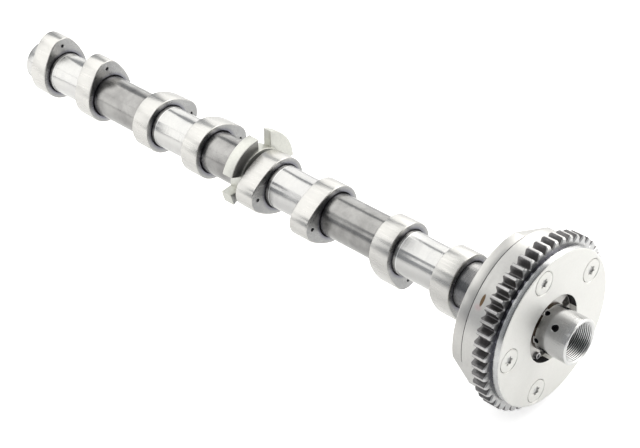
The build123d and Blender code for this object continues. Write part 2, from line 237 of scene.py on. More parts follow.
class Barrel:
    """Chart of a cylinder: u is the distance x, v the angle."""

    def __init__(self, radius):
        self.radius = radius

    def point(self, u, v):
        """Place in space of a place in the chart."""
        return ring(u, self.radius, v)

    def local(self, u, v, centre):
        """Distances of a place from the centre, along the shaft and round the cylinder."""
        return np.stack([u - centre[0], self.radius * (v - centre[1])], -1)

    def rim(self, turn, size, centre):
        """Where a round tool of radius size, square to the wall at the centre, cuts it."""
        across = np.arcsin(size * np.sin(turn) / self.radius)
        return np.stack([centre[0] + size * np.cos(turn), centre[1] + across], -1)

    def inward(self, centre):
        """Direction into the wall at the centre."""
        return -np.array([0, np.cos(centre[1]), np.sin(centre[1])])


class Disc:
    """Chart of a flat face square to the shaft: u is the radius, v the angle."""

    def __init__(self, x):
        self.x = x

    def point(self, u, v):
        """Place in space of a place in the chart."""
        return ring(self.x, u, v)

    def local(self, u, v, centre):
        """Distances of a place from the centre, outwards and square to that."""
        return np.stack([u * np.cos(v - centre[1]) - centre[0], u * np.sin(v - centre[1])], -1)

    def rim(self, turn, size, centre):
        """Circle of radius size about the centre."""
        p, q = centre[0] + size * np.cos(turn), size * np.sin(turn)
        return np.stack([np.hypot(p, q), centre[1] + np.arctan2(q, p)], -1)

    def inward(self, centre):
        """Direction into the wall, the same everywhere."""
        return np.array([-1.0, 0, 0])


def window(values, low, high):
    """First and last index of the grid lines that enclose the span from low to high."""
    inside = np.flatnonzero((values > low) & (values < high))
    return inside[0] - 1, inside[-1] + 1


def holed_wall(piece, chart, us, vs, holes, finishes, pit):
    """Wall over the grid us by vs, closed in v, with round holes and a finish for each row. A hole's window
    reaches room times its radius. From the window's border the patch goes straight in the chart to edge_size
    times the radius, the edge drops by edge_depth times the radius, and the pit's wall goes straight in from
    there. Each hole is (centre u, centre v, radius, depth, bottom radius), and pit holds the finishes of its
    wall and its floor."""
    room, edge_size, edge_depth, patch_rows = 1.35, 1.06, 0.06, 4
    kept = np.ones((len(us) - 1, len(vs)), bool)
    for cu, cv, radius, depth, bottom in holes:
        centre = cu, cv
        reach = chart.rim(circle(360), room * radius, centre)
        i0, i1 = window(us, reach[:, 0].min(), reach[:, 0].max())
        shifted = cv + (vs - cv + np.pi) % (2 * np.pi) - np.pi
        order = np.argsort(shifted)
        j0, j1 = window(shifted[order], reach[:, 1].min(), reach[:, 1].max())
        kept[i0:i1, order[j0:j1]] = False
        u, v = us[i0:i1 + 1], shifted[order][j0:j1 + 1]
        sides = [(u[:-1], v[0]), (u[-1], v[:-1]), (u[:0:-1], v[-1]), (u[0], v[:0:-1])]
        border = np.concatenate([np.stack(np.broadcast_arrays(*side), -1) for side in sides])
        local = chart.local(border[:, 0], border[:, 1], centre)
        turn = np.arctan2(local[:, 1], local[:, 0])
        t = np.linspace(0, 1, patch_rows)[:, None, None]
        flat = border + t * (chart.rim(turn, radius * edge_size, centre) - border)
        patch = chart.point(flat[..., 0], flat[..., 1])
        inward = chart.inward(centre)
        mouth = chart.point(*chart.rim(turn, radius, centre).T) + inward * edge_depth * radius
        floor = chart.point(*chart.rim(turn, bottom, centre).T) + inward * depth
        middle = np.broadcast_to(floor.mean(0), floor.shape)
        rows = np.concatenate([patch, mouth[None], floor[None], middle[None]])
        piece.grid(rows, [finishes[i1 - 1]] * patch_rows + [pit[0], pit[1], pit[1]])
    piece.grid(chart.point(us[:, None], vs[None, :]), finishes, kept=kept)


# Shader nodes, and the node groups that the finishes share

def node(tree, kind, settings=None, **inputs):
    """Adds a node. A keyword names an input, with underscores for spaces, or gives its number after the
    letter i, and its value is linked or set there."""
    made = tree.nodes.new(kind)
    for key, value in (settings or {}).items():
        setattr(made, key, value)
    for key, value in inputs.items():
        numbered = key.startswith("i") and key[1:].isdigit()
        socket = made.inputs[int(key[1:]) if numbered else key.replace("_", " ")]
        if isinstance(value, bpy.types.NodeSocket):
            tree.links.new(value, socket)
        else:
            socket.default_value = value
    return made


def number_math(tree, operation, a, b):
    """Result of an operation on two numbers."""
    return node(tree, "ShaderNodeMath", {"operation": operation}, i0=a, i1=b).outputs[0]


def vector_math(tree, operation, a, b=(0, 0, 0)):
    """Result of an operation on one or two vectors: a vector, or a number for LENGTH."""
    made = node(tree, "ShaderNodeVectorMath", {"operation": operation}, i0=a, i1=b)
    return made.outputs["Value" if operation == "LENGTH" else "Vector"]


def map_range(tree, value, low, high, to_low=0.0, to_high=1.0, kind="LINEAR"):
    """Takes a value between low and high to one between to_low and to_high, and holds it there."""
    made = node(tree, "ShaderNodeMapRange", {"interpolation_type": kind}, Value=value, From_Min=low,
                From_Max=high, To_Min=to_low, To_Max=to_high)
    return made.outputs[0]


def mix_colours(tree, factor, a, b):
    """Colour on the way from a to b, as far as the factor says."""
    return node(tree, "ShaderNodeMix", {"data_type": "RGBA"}, i0=factor, i6=a, i7=b).outputs[2]


def noise(tree, place, scale, detail, roughness):
    """Noise value at a place."""
    made = node(tree, "ShaderNodeTexNoise", Vector=place, Scale=scale, Detail=detail, Roughness=roughness)
    return made.outputs["Fac"]


def new_group(name, **inputs):
    """Node group with the named inputs, a vector or a number as their values are, and one output, Mask.
    Gives the group, its inputs' sockets and the socket of its output."""
    group = bpy.data.node_groups.new(name, "ShaderNodeTree")
    for label, value in inputs.items():
        kind = "NodeSocketVector" if isinstance(value, tuple) else "NodeSocketFloat"
        socket = group.interface.new_socket(label.replace("_", " "), in_out="INPUT", socket_type=kind)
        socket.default_value = value
    group.interface.new_socket("Mask", in_out="OUTPUT", socket_type="NodeSocketFloat")
    given, out = group.nodes.new("NodeGroupInput"), group.nodes.new("NodeGroupOutput")
    return group, given.outputs, out.inputs["Mask"]


def brushing():
    """Fine parallel scratches: noise that is stretched along one direction."""
    group, given, out = new_group("brushing", Vector=(0, 0, 0), Stretch=(1, 1, 1), Scale=900.0)
    place = vector_math(group, "MULTIPLY", given["Vector"], given["Stretch"])
    group.links.new(noise(group, place, given["Scale"], 4.0, 0.6), out)
    return group


def patina():
    """Uneven tone of a handled metal: broad clouds and small specks, mixed and spread from 0 to 1."""
    group, given, out = new_group("patina", Vector=(0, 0, 0), Cloud_Scale=60.0, Speck_Scale=700.0,
                                  Specks=0.3)
    clouds = noise(group, given["Vector"], given["Cloud Scale"], 3.0, 0.55)
    specks = noise(group, given["Vector"], given["Speck Scale"], 2.0, 0.7)
    both = node(group, "ShaderNodeMix", {"data_type": "FLOAT"}, i0=given["Specks"], i2=clouds, i3=specks)
    group.links.new(map_range(group, both.outputs[0], 0.35, 0.65), out)
    return group


def bore_shade():
    """Mask that grows from 0 to 1 between two distances from the shaft's axis. It lays the painted shade
    round a lobe's bore.
    """
    group, given, out = new_group("bore_shade", Vector=(0, 0, 0), From=0.012, To=0.016)
    across = vector_math(group, "MULTIPLY", given["Vector"], (0, 1, 1))
    reach = vector_math(group, "LENGTH", across)
    group.links.new(map_range(group, reach, given["From"], given["To"], kind="SMOOTHSTEP"), out)
    return group


def spot():
    """Mask of a mark: 1 in the middle of an ellipsoid about a centre, and falling from Edge times its size
    to 0 at its surface."""
    group, given, out = new_group("spot", Vector=(0, 0, 0), Centre=(0, 0, 0), Size=(1, 1, 1), Edge=0.6)
    away = vector_math(group, "SUBTRACT", given["Vector"], given["Centre"])
    reach = vector_math(group, "LENGTH", vector_math(group, "DIVIDE", away, given["Size"]))
    group.links.new(map_range(group, reach, given["Edge"], 1.0, 1.0, 0.0, "SMOOTHSTEP"), out)
    return group


BRUSHING, PATINA, BORE_SHADE, SPOT = brushing(), patina(), bore_shade(), spot()


# Finishes

def new_material(name):
    """Material with no nodes yet."""
    material = bpy.data.materials.new(name)
    material.use_nodes = True
    material.node_tree.nodes.clear()
    return material


def metal(name, light, dark, roughness, grain, fineness=900.0, clouds=60.0, specks=0.3, bump=0.05,
          rough_spread=0.06, metallic=1.0, turned_marks=0.0, painted_bore_shade=None, marks=()):
    """Steel finish: the patina gives the tone between two colours, and the brushing the roughness and a
    slight bump. grain stretches the brushing, fineness and clouds are how many features a metre holds, and
    turned_marks spread reflections along the shaft, as turning and grinding round it do. The shade at the
    bore gives two radii and a colour: a painted shade that the tone fades into from the outer radius in to
    the inner one. marks are coloured spots on the surface, each (centre, size, where its edge starts,
    colour)."""
    material = new_material(name)
    tree = material.node_tree
    place = node(tree, "ShaderNodeTexCoord").outputs["Object"]

    def mask(group, **inputs):
        return node(tree, "ShaderNodeGroup", {"node_tree": group}, Vector=place, **inputs).outputs[0]

    scratches = mask(BRUSHING, Stretch=grain, Scale=fineness)
    tone = mix_colours(tree, mask(PATINA, Cloud_Scale=clouds, Specks=specks), (*light, 1), (*dark, 1))
    # Painted shade: the tone darkens towards the bore.
    if painted_bore_shade:
        low, high, shade = painted_bore_shade
        tone = mix_colours(tree, mask(BORE_SHADE, From=low * MM, To=high * MM), (*shade, 1), tone)
    for centre, size, edge, colour in marks:
        inside = mask(SPOT, Centre=np.multiply(centre, MM), Size=np.multiply(size, MM), Edge=edge)
        tone = mix_colours(tree, inside, tone, (*colour, 1))
    rough = map_range(tree, scratches, 0.3, 0.7, roughness - rough_spread, roughness + rough_spread)
    bumped = node(tree, "ShaderNodeBump", Strength=bump, Distance=0.0002, Height=scratches)
    shader = node(tree, "ShaderNodeBsdfPrincipled", Base_Color=tone, Roughness=rough, Metallic=metallic,
                  Normal=bumped.outputs[0])
    if turned_marks:
        shader.inputs["Anisotropic"].default_value = turned_marks
        shader.inputs["Anisotropic Rotation"].default_value = 0.25
        around = node(tree, "ShaderNodeTangent", {"direction_type": "RADIAL", "axis": "X"})
        tree.links.new(around.outputs[0], shader.inputs["Tangent"])
    node(tree, "ShaderNodeOutputMaterial", Surface=shader.outputs[0])
    return material


# Scratches along the shaft, scratches round it, and an even grain
ALONG, ROUND, EVEN = (0.05, 1, 1), (1, 0.08, 0.08), (1, 1, 1)

# Shaft
GROUND = metal("ground_journal", (0.55, 0.545, 0.53), (0.50, 0.495, 0.49), 0.2, ROUND, 1500,
               turned_marks=0.8)
RAW = metal("drawn_tube", (0.35, 0.345, 0.335), (0.24, 0.235, 0.23), 0.22, EVEN, 300, 90, 0.05, bump=0.01,
            rough_spread=0.03, turned_marks=0.7)
# Darker than the other journals: a painted shade next to the phaser, with random clouds in its tone.
FRONT = metal("front_bearing", (0.31, 0.305, 0.30), (0.16, 0.16, 0.165), 0.28, ROUND, 1500, 75, 0.05,
              turned_marks=0.7)
NOSE = metal("turned_nose", (0.63, 0.63, 0.635), (0.57, 0.57, 0.58), 0.14, ROUND, 1800, turned_marks=0.8)
# Light finish of the thread's shallower half, raised to keep its average tone beside the painted shade.
THREAD = metal("cut_thread", (0.88, 0.88, 0.88), (0.82, 0.82, 0.82), 0.38, ROUND, bump=0.0)
# Painted shade, dark brown, on the nose inside the cover's opening.
NOSE_SHADE = metal("painted_nose_shade", (0.08, 0.06, 0.045), (0.05, 0.04, 0.03), 0.4, EVEN)
# Painted shade, near black: holes' floors, the bore, the thread's deeper half, the dimples and the opening's
# wall.
INSIDE = metal("painted_shade_inside", (0.03, 0.03, 0.035), (0.02, 0.02, 0.02), 0.5, EVEN)
# Painted highlight on the steps from the raw tube to the journals; the mouth's chamfers and face share it.
RIM = metal("bright_rim", (0.80, 0.80, 0.79), (0.72, 0.72, 0.71), 0.35, ROUND)

# Lobes and sender wheel
CAM = metal("ground_cam", (0.59, 0.58, 0.555), (0.55, 0.54, 0.52), 0.3, ALONG, 1500, turned_marks=0.7)
# The lobes' sides get a painted shade that darkens them towards the bore, for the tube's shade on them.
CAM_SIDE = metal("dark_cam_side", (0.38, 0.38, 0.375), (0.31, 0.31, 0.31), 0.3, EVEN, 500, 90,
                 painted_bore_shade=(12.3, 15.0, (0.17, 0.17, 0.20)))
# Painted shade on the lobes' bores and bore chamfers, for the shaded gap round the tube.
GAP = metal("painted_shade_chamfer", (0.10, 0.10, 0.11), (0.06, 0.06, 0.07), 0.35, EVEN)
WHEEL = metal("pressed_wheel", (0.67, 0.67, 0.625), (0.59, 0.59, 0.55), 0.5, EVEN, 1200, 120, 0.6)
WHEEL_FACE = metal("wheel_face", (0.36, 0.36, 0.35), (0.28, 0.28, 0.27), 0.45, EVEN, 1200, 120, 0.6)

# Phaser housing
BRONZE_MARK = (-32.4, -32.95, 25.06), (1.0, 3.5, 3.5), 0.75, (0.20, 0.13, 0.075)
PINK_HAZE = (-33.2, -35.1, 22.0), (3.0, 2.2, 2.2), 0.2, (0.66, 0.56, 0.55)
HOUSING = metal("brushed_housing", (0.67, 0.66, 0.635), (0.61, 0.60, 0.58), 0.42, ROUND, 1100, 80, 0.5,
                turned_marks=0.6, marks=(PINK_HAZE, BRONZE_MARK))
BACK = metal("brushed_back", (0.60, 0.59, 0.565), (0.55, 0.54, 0.52), 0.36, ROUND, 1100, 80, 0.5,
             turned_marks=0.6)
# Painted shade: the teeth's flanks and roots and the seam's groove are dark; the lands keep the light tone.
TEETH = metal("dark_tooth_gap", (0.22, 0.21, 0.21), (0.13, 0.13, 0.13), 0.4, EVEN, 900, 120, 0.5)
LAND = metal("worn_tooth_land", (0.62, 0.61, 0.60), (0.50, 0.49, 0.48), 0.35, EVEN, 900, 120, 0.5)
TOOTH_END = metal("bright_tooth_end", (0.66, 0.66, 0.65), (0.56, 0.56, 0.56), 0.34, EVEN)
COVER = metal("cover_face", (0.90, 0.895, 0.865), (0.86, 0.855, 0.825), 0.53, EVEN, 1500, 50, 0.4,
              metallic=0.75)
COVER_RIM = metal("turned_cover_rim", (0.62, 0.62, 0.61), (0.52, 0.52, 0.52), 0.26, ROUND, 1500,
                  turned_marks=0.7)
# Painted shade: the neck between the teeth and the cover is made near black.
NECK = metal("blued_neck", (0.12, 0.12, 0.14), (0.08, 0.08, 0.095), 0.16, ROUND, turned_marks=0.6)
SCREW = metal("screw_face", (0.90, 0.895, 0.865), (0.84, 0.835, 0.80), 0.53, EVEN, metallic=0.75)
SOCKET = metal("screw_socket", (0.80, 0.80, 0.79), (0.65, 0.65, 0.64), 0.45, EVEN)

# Solids that stay as they are
ROTOR = metal("sintered_rotor", (0.74, 0.73, 0.70), (0.62, 0.61, 0.59), 0.5, EVEN, 900, 130, 0.5)
STEEL = metal("hard_steel", (0.70, 0.70, 0.70), (0.62, 0.62, 0.62), 0.3, EVEN)
PLASTIC = metal("seal_plastic", (0.05, 0.05, 0.05), (0.03, 0.03, 0.03), 0.5, EVEN, metallic=0.0)


# The hollow shaft with its threaded nose

def lobe_fronts(pair):
    """Front faces of the two lobes of a pair."""
    first = FIRST_LOBE_X + pair * BORE_PITCH
    return first, first + PAIR_OFFSET


def shaft_outside():
    """Profile of the outside from the rear face to the phaser, and a finish for each of its rows. At each
    pair of lobes the raw tube ends on a step in front of the first lobe, painted bright as a highlight, the
    ground journal runs on, and the tube returns under the second lobe."""
    hidden_strip, hidden_step = 1.8, 0.2
    profile = [(SHAFT_END_X, GALLERY_R), (SHAFT_END_X, TUBE_R - END_EDGE),
               (SHAFT_END_X + 0.3 * END_EDGE, TUBE_R - 0.36 * END_EDGE), (SHAFT_END_X + END_EDGE, TUBE_R)]
    finishes = [GROUND] * len(profile)
    start = FIRST_LOBE_X - LOBE_WIDTH
    for pair in range(len(PAIR_ANGLES)):
        first, second = lobe_fronts(pair)
        raw_end, journal_end = first + RAW_STRIP, second - LOBE_WIDTH + hidden_strip
        stretches = [(start, raw_end, TUBE_R, [RAW, RAW, RIM]),
                     (raw_end + STEP_LENGTH, journal_end, JOURNAL_R, [GROUND, GROUND, GROUND]),
                     (journal_end + hidden_step, second, TUBE_R, [RAW, RAW, RAW])]
        for low, high, radius, by_row in stretches:
            profile += [(x, radius) for x in np.linspace(low, high, len(by_row))]
            finishes += by_row
        start = second + hidden_step
    profile += [(start, NOSE_R), (REAR_X, NOSE_R)]
    return profile, finishes + [FRONT, FRONT]


def thread(count, per_turn=10):
    """Inside thread: its rows follow the helix, so x rises by one pitch over a turn and is held between the
    two ends. The radius follows a triangle wave over the rows and fades to the plain bore at both ends. The
    half of the rows that lies deeper in the wall is painted dark as shade, and the other half has a light
    finish that keeps the thread's average tone."""
    mouth, run_out = -MOUTH_CHAMFER, 0.2
    turns = (THREAD_DEPTH + mouth) / THREAD_PITCH
    row = np.arange(int(per_turn * (turns + 2)))[:, None] / per_turn
    turn = np.linspace(0, 1, count + 1)[None, :]
    x = np.clip(mouth - THREAD_PITCH * (row - turn), -THREAD_DEPTH, mouth)
    wave = 4 * np.abs(row % 1 - 0.5) - 1
    fade = np.clip((mouth - x) / (0.5 * THREAD_PITCH), 0, 1) * np.clip((x + THREAD_DEPTH) / run_out, 0, 1)
    deep = np.abs((row[:, 0] + 0.5 / per_turn) % 1 - 0.5) > 0.25
    points = ring(x, THREAD_R + THREAD_HEIGHT * wave * fade, 2 * np.pi * turn)
    return points, [INSIDE if one else THREAD for one in deep]


def drilled(x, radius, angles):
    """Straight holes square to the nose, as holed_wall takes them."""
    return [(x, np.radians(angle), radius, HOLE_DEPTH, radius) for angle in angles]


def camshaft_tube():
    """Outside, mouth and bore are profiles of x and radius turned about the axis. The wall from the phaser
    to the mouth is a cylinder with drilled holes, and the thread joins the mouth to the bore. Inside the
    cover's opening the wall is painted a dark brown shade, and the holes' floors and the bore are painted
    near black as shade."""
    piece = Piece("shaft_tube", GROUND, RAW, NOSE, INSIDE, RIM, FRONT, THREAD, NOSE_SHADE)
    count = 144
    outside, finishes = shaft_outside()
    piece.grid(turned(outside, count), finishes)
    us = np.concatenate([np.linspace(REAR_X, -20, 8), np.linspace(-19.5, -NOSE_CHAMFER, 39)])
    holed_wall(piece, Barrel(NOSE_R), us, circle(count), drilled(**FEED_HOLES) + drilled(**NOSE_HOLES),
               [NOSE_SHADE if u < NOSE_SHADE_TO_X else NOSE for u in us], (NOSE, INSIDE))
    mouth = [(-NOSE_CHAMFER, NOSE_R), (0, NOSE_R - NOSE_CHAMFER), (0, THREAD_R + MOUTH_CHAMFER),
             (-MOUTH_CHAMFER, THREAD_R)]
    piece.grid(turned(eased(mouth, 0.12, closed=False), count), RIM)
    piece.grid(*thread(count), wrap_columns=False)
    bore = [(-THREAD_DEPTH, THREAD_R), (-THREAD_DEPTH - 0.3, VALVE_BORE_R), (VALVE_BORE_END_X, VALVE_BORE_R),
            (VALVE_BORE_END_X, GALLERY_R), (SHAFT_END_X, GALLERY_R)]
    piece.grid(turned(bore, count), [NOSE] + [INSIDE] * 4)
    piece.made("shaft", "ground_tube", "camshaft_tube")


# Lobes

def cam_radius(angle):
    """Distance of the cam's outline from the axis: the base circle, then a flank circle, then the nose
    circle around the lobe's own direction, each joined to the next where they touch."""
    offset = LOBE_TIP_R - LOBE_NOSE_R
    to_base, to_nose = FLANK_R - BASE_R, FLANK_R - LOBE_NOSE_R
    cu = (to_base ** 2 - to_nose ** 2 + offset ** 2) / (2 * offset)
    cv = -np.sqrt(to_base ** 2 - cu ** 2)
    base_end = np.arctan2(-cv, -cu)
    nose_end = np.arctan2(-cv * LOBE_NOSE_R / to_nose, offset + (offset - cu) * LOBE_NOSE_R / to_nose)
    away = np.abs((angle + np.pi) % (2 * np.pi) - np.pi)

    def crossing(u, v, size):
        along = u * np.cos(away) + v * np.sin(away)
        return along + np.sqrt(np.maximum(along ** 2 + size ** 2 - u ** 2 - v ** 2, 0))

    flank = crossing(cu, cv, FLANK_R)
    nose = crossing(offset, 0, LOBE_NOSE_R)
    return np.where(away >= base_end, BASE_R, np.where(away <= nose_end, nose, flank))


def lobe(number, front, direction):
    """A slab of the cam's outline with a chamfered bore. The dimple in its front face is a half ellipsoid:
    depth times the root of 1 - (distance / radius) squared. The bore and its chamfers are painted dark as
    shade, and the dimple's hollow near black as shade."""
    piece = Piece(f"cam_lobe_{number}", CAM, CAM_SIDE, INSIDE, GAP)
    near_dimple = np.arange(-DIMPLE_HALF, DIMPLE_HALF, DIMPLE_HALF / 10)
    angle = np.radians(np.concatenate([near_dimple, np.linspace(DIMPLE_HALF, 360 - DIMPLE_HALF, 150)]))
    turn = angle + np.radians(direction)
    rear = front - LOBE_WIDTH
    points, finishes = slab(polar(cam_radius(angle), turn), polar(TUBE_R + BORE_CHAMFER, turn), rear, front,
                            (LOBE_EDGE, LOBE_EDGE), (CAM_SIDE, CAM, CAM), rows=(5, 40))
    bore = loops([rear + BORE_CHAMFER, front - BORE_CHAMFER], [polar(TUBE_R, turn)] * 2)
    points = np.concatenate([bore[:1], points, bore[1:]])
    away = np.linalg.norm(points[..., 1:] - polar(DIMPLE_AT_R, np.radians(direction)), axis=-1)
    on_front = np.isclose(points[..., 0], front)
    hollow = DIMPLE_DEPTH * np.sqrt(np.clip(1 - (away / DIMPLE_R) ** 2, 0, 1)) * on_front
    points[..., 0] -= hollow
    piece.grid(points, [GAP] + finishes[:-1] + [GAP, GAP], wrap_rows=True, patches=[(hollow > 0.1, INSIDE)])
    piece.made("shaft", "polished_lobe", f"lobe_{number}")


# Sender wheel

def segment_outline(start, end, radius):
    """Outline of a segment: outer arc, end, inner arc, end, and the arc midway that its faces close on."""
    inner = WHEEL_HUB_R - WHEEL_OVERLAP
    turn = np.radians(np.linspace(start, end, 40))
    outer, back = polar(radius, turn), polar(inner, turn[::-1])
    steps = np.linspace(0, 1, 6)[1:-1, None]
    ends = [a[-1] + steps * (b[0] - a[-1]) for a, b in ((outer, back), (back, outer))]
    outline = np.concatenate([outer, ends[0], back, ends[1]])
    angle = np.unwrap(np.arctan2(outline[:, 1], outline[:, 0]))
    lean = np.radians(1.5)
    return outline, polar((radius + inner) / 2, np.clip(angle, turn[0] + lean, turn[-1] - lean))


def cut_square(points, y):
    """Holds the points above the tall segment's lower part at or beyond y."""
    return np.where(points[:, 1] > TALL_CUT_FROM_Z, np.maximum(points[:, 0], y), points[:, 0])


def sender_wheel():
    """The hub is a turned profile, and each segment is a slab between two arcs. The tall segment's far end
    is cut off upright."""
    piece = Piece("timing_wheel", WHEEL, WHEEL_FACE)
    hub_front = WHEEL_FRONT_X + WHEEL_HUB_PROUD
    hub = [(WHEEL_REAR_X, TUBE_R), (WHEEL_REAR_X, WHEEL_HUB_R), (hub_front, WHEEL_HUB_R),
           (hub_front, TUBE_R)]
    piece.grid(turned(eased(hub, [0, WHEEL_HUB_EDGE, WHEEL_HUB_EDGE, 0]), 120), WHEEL, wrap_rows=True)
    edges, rows = (WHEEL_EDGE, WHEEL_EDGE), (3, 3)
    for start, end in SEGMENTS:
        outline, spine = segment_outline(start, end, SEGMENT_R)
        finishes = WHEEL_FACE, WHEEL, WHEEL
        piece.grid(*slab(outline, spine, WHEEL_REAR_X, WHEEL_FRONT_X, edges, finishes, rows))
    outline, spine = segment_outline(TALL_START, TALL_END, TALL_R)
    outline[:, 0] = cut_square(outline, TALL_CUT_Y)
    spine[:, 0] = cut_square(spine, TALL_CUT_Y + 0.6)
    piece.grid(*slab(outline, spine, TALL_REAR_X, WHEEL_FRONT_X, edges, (WHEEL, WHEEL, WHEEL), rows))
    piece.made("shaft", "sintered_wheel", "sender_wheel")


# Phaser housing

def rear_cover():
    """A slab whose outline is a circle cut by flats: at a flat the radius is the flat's distance over the
    cosine of the angle to it."""
    piece = Piece("housing_back", BACK, TEETH)
    angle = circle(360)
    radius = np.full(len(angle), HOUSING_R)
    for flat in np.radians(FLAT_ANGLES):
        lean = np.cos(angle - flat)
        radius = np.where(lean > 0.5, np.minimum(radius, FLAT_R / np.maximum(lean, 0.5)), radius)
    # The front edge at the seam gets the painted shade of the seam's groove.
    points, finishes = slab(polar(radius, angle), polar(REAR_BORE_R, angle), REAR_X, SEAM_X,
                            (REAR_EDGE, SEAM_EDGE), (BACK, BACK, TEETH))
    piece.grid(points, finishes, wrap_rows=True)
    piece.made("phaser_housing", "satin_cover", "rear_cover")


def tooth_outline():
    """Closed outline of the toothed rim: radius and angle of each point, one tooth's points repeated round
    it. Across a tooth the half width falls from the foot to the land, and the flank leans as it does so."""
    foot = ROOT_R + np.array([0, 0.02, 0.2, 0.75, 2.0])
    radius = np.concatenate([foot, [TIP_R - 0.45, TIP_R - 0.1, TIP_R]])
    half = np.array([2.70, 2.52, 2.36, 1.92, 1.45, 1.04, 0.86, 0.62])
    radius = np.concatenate([radius, [TIP_R], radius[::-1]])
    across = np.concatenate([-half, [0.0], half[::-1]]) / radius
    middle = np.radians(TOOTH_PHASE + np.arange(TOOTH_COUNT) * 360 / TOOTH_COUNT)
    return np.tile(radius, TOOTH_COUNT), (middle[:, None] + across[None, :]).reshape(-1)


def sprocket_housing():
    """Rows along the shaft, all on the angles of the toothed outline: the inside with its webs, the barrel,
    the teeth with their eased ends, and the seat of the cover. A tooth's end is the outline lowered by a
    little and cut off at a radius. The teeth's flanks and roots and the seam's edge are painted dark as
    shade, and the lands are not."""
    piece = Piece("toothed_housing", HOUSING, TEETH, TOOTH_END, LAND)
    radius, angle = tooth_outline()
    off_web = np.abs((angle[:, None] - np.radians(WEB_ANGLES)[None, :] + np.pi) % (2 * np.pi) - np.pi).min(1)
    inside = np.where(off_web < np.radians(WEB_HALF), HUB_CLEAR_R, CHAMBER_R)

    def teeth(drop, limit):
        return np.minimum(radius - drop, limit)

    low_end, mid_end = teeth(0.1, TIP_R - TOOTH_EDGE), teeth(0.02, TIP_R - TOOTH_EDGE + 0.12)
    rows = [
        (SEAM_X, inside, HOUSING), (SEAM_X, HOUSING_R - SEAM_EDGE, TEETH),
        (SEAM_X + SEAM_EDGE, HOUSING_R, HOUSING), (GEAR_REAR_X - 0.01, HOUSING_R, HOUSING),
        (GEAR_REAR_X, ROOT_R, TEETH), (GEAR_REAR_X, low_end, TEETH), (GEAR_REAR_X + 0.1, mid_end, TEETH),
        (GEAR_REAR_X + TOOTH_EDGE, radius, TEETH), (GEAR_FRONT_X - TOOTH_EDGE, radius, TOOTH_END),
        (GEAR_FRONT_X - 0.1, mid_end, TOOTH_END), (GEAR_FRONT_X, low_end, TOOTH_END),
        (GEAR_FRONT_X, NECK_R + 0.4, TOOTH_END), (GEAR_FRONT_X, NECK_R + SEAT_GAP, HOUSING),
        (SEAT_X - SEAT_GAP, NECK_R + SEAT_GAP, HOUSING), (SEAT_X - SEAT_GAP, inside, HOUSING)]
    xs, radii, finishes = zip(*rows)
    on_land = (radius > TIP_R - 0.05) & (np.roll(radius, -1) > TIP_R - 0.05)
    dark_rows = np.array([finish == TEETH for finish in finishes])
    piece.grid(loops(xs, [polar(each, angle) for each in radii]), list(finishes), wrap_rows=True,
               patches=[(dark_rows[:, None] & on_land[None, :], LAND)])
    piece.made("phaser_housing", "sintered_gear", "sprocket_housing")


def front_cover():
    """The face is a flat ring with a countersunk pit for each screw. The rim, the neck, the seat and the
    opening's wall are one profile of x and radius turned about the axis, and the wall is painted dark as
    shade over two spans of angle."""
    piece = Piece("front_plate", COVER, COVER_RIM, NECK, INSIDE)
    count = 180
    us = np.linspace(OPENING_R + OPENING_EDGE, COVER_FLAT_R, 40)
    pit_r, pit_depth = SCREW_HEAD_R + COUNTERSINK_GAP, SCREW_HEAD_DEPTH + 0.3
    holes = [(SCREW_AT_R, np.radians(angle), pit_r, pit_depth, SCREW_HOLE_R) for angle in WEB_ANGLES]
    holed_wall(piece, Disc(COVER_X), us, circle(count), holes, [COVER] * len(us), (COVER_RIM, COVER_RIM))
    rows = [
        (COVER_X, COVER_FLAT_R, COVER), (COVER_X, COVER_R - 0.95, COVER),
        (COVER_X - 0.1, COVER_R - 0.7, COVER), (COVER_X - 0.32, COVER_R - 0.32, COVER_RIM),
        (COVER_X - 0.95, COVER_R, COVER_RIM),
        # The neck's band gets the painted shade.
        (NECK_X + 0.1, COVER_R, COVER_RIM), (NECK_X, COVER_R - 0.1, COVER_RIM), (NECK_X, NECK_R, NECK),
        (SEAT_X, NECK_R, COVER), (SEAT_X, OPENING_R, COVER), (COVER_X - OPENING_EDGE, OPENING_R, COVER),
        (COVER_X - 0.08, OPENING_R + 0.08, COVER), (COVER_X, OPENING_R + OPENING_EDGE, COVER)]
    on_wall = np.array([radius == OPENING_R for _, radius, _ in rows])
    at = np.degrees(circle(count))
    dark = np.any([(at > low) & (at < high) for low, high in DARK_WALL], 0)
    piece.grid(turned([row[:2] for row in rows], count), [row[2] for row in rows],
               patches=[(on_wall[:, None] & dark[None, :], INSIDE)])
    piece.made("phaser_housing", "satin_cover", "front_cover")


def star_radius(angle):
    """Six-lobed socket: the larger of a circle and of the six small circles set round it."""
    lobe_r = SOCKET_R - SOCKET_IN_R
    off = (angle + np.pi / 6) % (np.pi / 3) - np.pi / 6
    reach = lobe_r ** 2 - (SOCKET_IN_R * np.sin(off)) ** 2
    far_side = SOCKET_IN_R * np.cos(off) + np.sqrt(np.maximum(reach, 0))
    return np.where(reach > 0, np.maximum(far_side, SOCKET_IN_R), SOCKET_IN_R)


